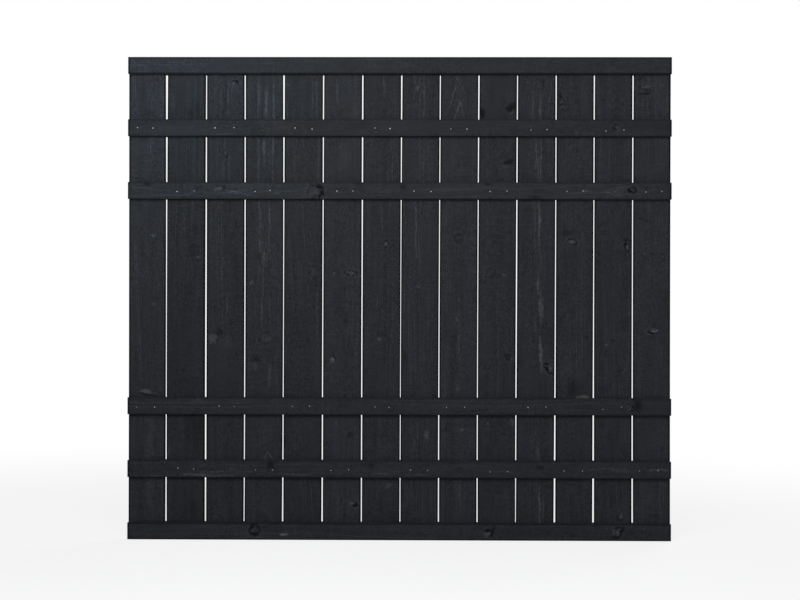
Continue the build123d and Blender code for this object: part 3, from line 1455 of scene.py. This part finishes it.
def dress_timber(node):
    """Replaces a node by a sawn and stained timber of its size."""
    settings = bpy.context.scene.windbreak_timber
    timber = measure_timber(node, settings.arris)
    piece = saw_timber(timber, f"stained_{node}", settings)
    add_relief(piece, settings)
    piece.data.materials.append(stained_timber(timber, settings))
    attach(piece, BODY)
    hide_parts(node)
    return piece


def copy_to(piece, place, turn=Euler((0, 0, 0))):
    """A copy of a piece, with its own mesh, set down at a place."""
    copy = piece.copy()
    copy.data = piece.data.copy()
    copy.location = place
    copy.rotation_euler = turn
    bpy.context.scene.collection.objects.link(copy)
    return copy


def join(pieces, name):
    """Joins pieces into one mesh of that name."""
    select_nothing()
    for piece in pieces:
        piece.select_set(True)
    bpy.context.view_layer.objects.active = pieces[0]
    bpy.ops.object.join()
    joined = bpy.context.active_object
    joined.name = name
    joined.data.name = name
    return joined


def nail_places(rail):
    """Where nails go in one rail: two in each board that it takes, at the rail's outer face."""
    settings = bpy.context.scene.windbreak_nails
    name, side = rail.rsplit("_", 1)
    low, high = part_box(rail)
    face = low.y if side == "front" else high.y
    if side == "front":
        return [place_in_photo(column, row, face) for column, row in NAIL_SPOTS.get(name, ())]
    shown = [place_in_photo(column, row, face).x for column, row in NAIL_SPOTS.get(name, ())]
    chance = random.Random(f"nails of {rail}")
    places = []
    for board in boards:
        left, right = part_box(board)
        if any(left.x < x < right.x for x in shown):
            continue
        for half in (-0.5, 0.5):
            x = (left.x + right.x) / 2 + half * settings.pair_width
            x += chance.uniform(-1, 1) * settings.scatter
            z = (low.z + high.z) / 2 + chance.uniform(-1, 1) * settings.scatter
            places.append(Vector((x, face, z)))
    return places


def punch_dimples(piece, rail):
    """Cuts the hollow round each nail head."""
    settings = bpy.context.scene.windbreak_nails
    places = nail_places(rail)
    if not places:
        return
    depth = settings.sink + settings.head_thickness
    radius = settings.head_radius + settings.dimple
    select_nothing()
    bpy.ops.mesh.primitive_cylinder_add(
        vertices=settings.sides, radius=radius, depth=2 * depth, rotation=(math.pi / 2, 0, 0)
    )
    punch = bpy.context.active_object
    bpy.ops.object.transform_apply(rotation=True)
    punches = [copy_to(punch, place) for place in places]
    bpy.data.objects.remove(punch)
    cutter = join(punches, "punches")
    select_only(piece)
    cut = piece.modifiers.new("Dimples", "BOOLEAN")
    cut.operation = "DIFFERENCE"
    cut.solver = "EXACT"
    cut.object = cutter
    bpy.ops.object.modifier_apply(modifier=cut.name)
    bpy.data.objects.remove(cutter)


def forge_nail():
    """One flat-headed nail at the origin: the top of its head there, its point towards +Y."""
    settings = bpy.context.scene.windbreak_nails
    thickness = settings.head_thickness
    select_nothing()
    bpy.ops.mesh.primitive_cylinder_add(
        vertices=settings.sides,
        radius=settings.head_radius,
        depth=thickness,
        location=(0, thickness / 2, 0),
        rotation=(math.pi / 2, 0, 0),
    )
    nail = bpy.context.active_object
    bpy.ops.object.transform_apply(location=True, rotation=True, scale=True)
    bpy.ops.object.mode_set(mode="EDIT")
    near = thickness / 10
    pick(nail, "EDGE", lambda edge: all(vertex.co.y < near for vertex in edge.verts))
    bpy.ops.mesh.bevel(offset=thickness / 4, segments=1, affect="EDGES")
    pick(nail, "FACE", lambda face: face.calc_center_median().y > thickness - near)
    bpy.ops.mesh.inset(thickness=settings.head_radius - settings.shank_radius)
    point_length = 3 * settings.shank_radius
    shank_length = settings.length - thickness - point_length
    bpy.ops.mesh.extrude_region_move(TRANSFORM_OT_translate={"value": (0, shank_length, 0)})
    bpy.ops.mesh.extrude_region_move(TRANSFORM_OT_translate={"value": (0, point_length, 0)})
    narrowed = (POINT_SHARE, 1, POINT_SHARE)
    bpy.ops.transform.resize(value=narrowed, center_override=(0, settings.length, 0))
    bpy.ops.object.mode_set(mode="OBJECT")
    return nail


def zinc_material():
    """Dulled zinc of the nails."""
    material, wiring, shader = new_material("dull_zinc")
    place = wiring.add("ShaderNodeTexCoord").outputs["Object"]
    zinc = (*bpy.context.scene.windbreak_nails.zinc, 1.0)
    look = wiring.place_group("Dull Zinc", {"Point": place, "Zinc": zinc})
    wiring.feed(shader.inputs["Base Color"], look["Color"])
    wiring.feed(shader.inputs["Roughness"], look["Roughness"])
    shader.inputs["Metallic"].default_value = NAIL_METAL
    return material


def light_from_all_round(ambient):
    """A pale world: white where it is seen, softer where it lights."""
    world = bpy.data.worlds.new("studio")
    bpy.context.scene.world = world
    world.use_nodes = True
    world.node_tree.nodes.clear()
    wiring = Wiring(world.node_tree)
    seen = seen_mask(wiring)
    strength = wiring.scaled(seen, 1.0 - ambient, ambient)
    background = wiring.add(
        "ShaderNodeBackground",
        {"Color": (*WHITE, 1.0), "Strength": strength},
    )
    output = wiring.add("ShaderNodeOutputWorld")
    wiring.feed(output.inputs["Surface"], background.outputs[0])


def seen_mask(wiring):
    """1 for rays that see, reflect or pass through, and 0 for those that light."""
    path = wiring.add("ShaderNodeLightPath").outputs
    bounced = wiring.math("MAXIMUM", path["Is Glossy Ray"], path["Is Transmission Ray"])
    return wiring.math("MAXIMUM", path["Is Camera Ray"], bounced)


def pale_floor_material():
    """White floor that keeps the panel's shadow near it and runs into the white behind."""
    material = bpy.data.materials.new("pale_floor")
    material.use_nodes = True
    material.node_tree.nodes.clear()
    wiring = Wiring(material.node_tree)
    place = wiring.add("ShaderNodeTexCoord").outputs["Object"]
    distance = wiring.add("ShaderNodeVectorMath", {0: place}, operation="LENGTH").outputs["Value"]
    far_share = wiring.step(distance, FADE_START, FADE_END)
    share = wiring.scaled(far_share, 1 - NEAR_WHITE, NEAR_WHITE)
    seen = wiring.times(seen_mask(wiring), share)
    matt = wiring.add("ShaderNodeBsdfDiffuse", {"Color": FLOOR_COLOUR})
    white = wiring.add("ShaderNodeEmission", {"Color": (*WHITE, 1.0), "Strength": 1.0})
    mixed = wiring.add("ShaderNodeMixShader", {0: seen, 1: matt.outputs[0], 2: white.outputs[0]})
    output = wiring.add("ShaderNodeOutputMaterial")
    wiring.feed(output.inputs["Surface"], mixed.outputs[0])
    return material


def add_lamp(name, place, aim, power, size, colour):
    """A large soft lamp that the camera doesn't see."""
    lamp = bpy.data.lights.new(name, "AREA")
    lamp.shape = "SQUARE"
    lamp.size = size
    lamp.energy = power
    lamp.color = colour
    holder = bpy.data.objects.new(name, lamp)
    holder.location = place
    holder.rotation_euler = (aim - place).to_track_quat("-Z", "Y").to_euler()
    holder.visible_camera = False
    bpy.context.scene.collection.objects.link(holder)


class WINDBREAK_OT_set_stage(Operator):
    """Set the camera at the photograph's angle, the floor and the light"""

    bl_idname = "windbreak.set_stage"
    bl_label = "Set Stage"

    def execute(self, context):
        settings = context.scene.windbreak_stage
        data = bpy.data.cameras.new("camera")
        data.sensor_width = SENSOR_WIDTH
        data.sensor_fit = "HORIZONTAL"
        data.lens = settings.lens
        camera = bpy.data.objects.new("camera", data)
        camera.location = eye()
        camera.rotation_euler = camera_turn().to_euler()
        context.scene.collection.objects.link(camera)
        context.scene.camera = camera
        context.scene.view_settings.view_transform = "Standard"

        aim = Vector((0, 0, panel_middle.z))
        add_lamp("key_lamp", KEY_PLACE, aim, settings.key_power, KEY_SIZE, KEY_COLOUR)
        add_lamp("back_lamp", BACK_PLACE, aim, settings.back_power, BACK_SIZE, WHITE)
        light_from_all_round(settings.ambient)

        select_nothing()
        bpy.ops.mesh.primitive_plane_add(size=FLOOR_SIZE, location=(0, 0, cad_box[0].z - FLOOR_GAP))
        floor = context.active_object
        floor.name = "floor"
        floor.data.materials.append(pale_floor_material())
        return {"FINISHED"}


class WINDBREAK_OT_saw_boards(Operator):
    """Saw and stain the upright boards"""

    bl_idname = "windbreak.saw_boards"
    bl_label = "Saw Boards"

    def execute(self, context):
        for node in boards:
            finish_mesh(dress_timber(node))
        return {"FINISHED"}


class WINDBREAK_OT_saw_rails(Operator):
    """Saw and stain the rails and punch the hollows for their nails"""

    bl_idname = "windbreak.saw_rails"
    bl_label = "Saw Rails"

    def execute(self, context):
        for node in rails:
            piece = dress_timber(node)
            punch_dimples(piece, node)
            finish_mesh(piece)
        return {"FINISHED"}


class WINDBREAK_OT_drive_nails(Operator):
    """Drive the nails through the rails into the boards"""

    bl_idname = "windbreak.drive_nails"
    bl_label = "Drive Nails"

    def execute(self, context):
        settings = context.scene.windbreak_nails
        nail = forge_nail()
        zinc = zinc_material()
        for rail in rails:
            places = nail_places(rail)
            if not places:
                continue
            inwards = 1 if rail.endswith("_front") else -1
            chance = random.Random(f"tilt of {rail}")
            driven = []
            for place in places:
                lean_down = chance.uniform(-NAIL_LEAN, NAIL_LEAN)
                spin = chance.uniform(0, math.pi)
                tilt = Euler((lean_down, spin, chance.uniform(-NAIL_LEAN, NAIL_LEAN)))
                if inwards < 0:
                    tilt.rotate(Euler((0, 0, math.pi)))
                sunk = place + Vector((0, inwards * settings.sink, 0))
                driven.append(copy_to(nail, sunk, tilt))
            nails = join(driven, f"{rail}_nails")
            nails.data.materials.append(zinc)
            finish_mesh(nails)
            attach(nails, BODY)
        bpy.data.objects.remove(nail)
        return {"FINISHED"}


class WINDBREAK_PT_tools(Panel):
    """Steps that dress the panel, in order"""

    bl_label = "Windbreak Panel"
    bl_idname = "WINDBREAK_PT_tools"
    bl_space_type = "VIEW_3D"
    bl_region_type = "UI"
    bl_category = "Windbreak"

    def draw(self, context):
        column = self.layout.column()
        for step in STEPS:
            column.operator(step.bl_idname)
        for settings in SETTINGS:
            group = getattr(context.scene, settings)
            box = column.box()
            for name in group.__annotations__:
                box.prop(group, name)


SETTINGS = {
    "windbreak_stage": StageSettings,
    "windbreak_timber": TimberSettings,
    "windbreak_nails": NailSettings,
}
STEPS = (
    WINDBREAK_OT_set_stage,
    WINDBREAK_OT_saw_boards,
    WINDBREAK_OT_saw_rails,
    WINDBREAK_OT_drive_nails,
)


def register():
    for name, settings in SETTINGS.items():
        bpy.utils.register_class(settings)
        setattr(bpy.types.Scene, name, PointerProperty(type=settings))
    for step in STEPS:
        bpy.utils.register_class(step)
    bpy.utils.register_class(WINDBREAK_PT_tools)


def unregister():
    bpy.utils.unregister_class(WINDBREAK_PT_tools)
    for step in reversed(STEPS):
        bpy.utils.unregister_class(step)
    for name, settings in SETTINGS.items():
        delattr(bpy.types.Scene, name)
        bpy.utils.unregister_class(settings)


def main():
    register()
    bpy.ops.windbreak.set_stage()
    bpy.ops.windbreak.saw_boards()
    bpy.ops.windbreak.saw_rails()
    bpy.ops.windbreak.drive_nails()


if __name__ == "__main__":
    main()
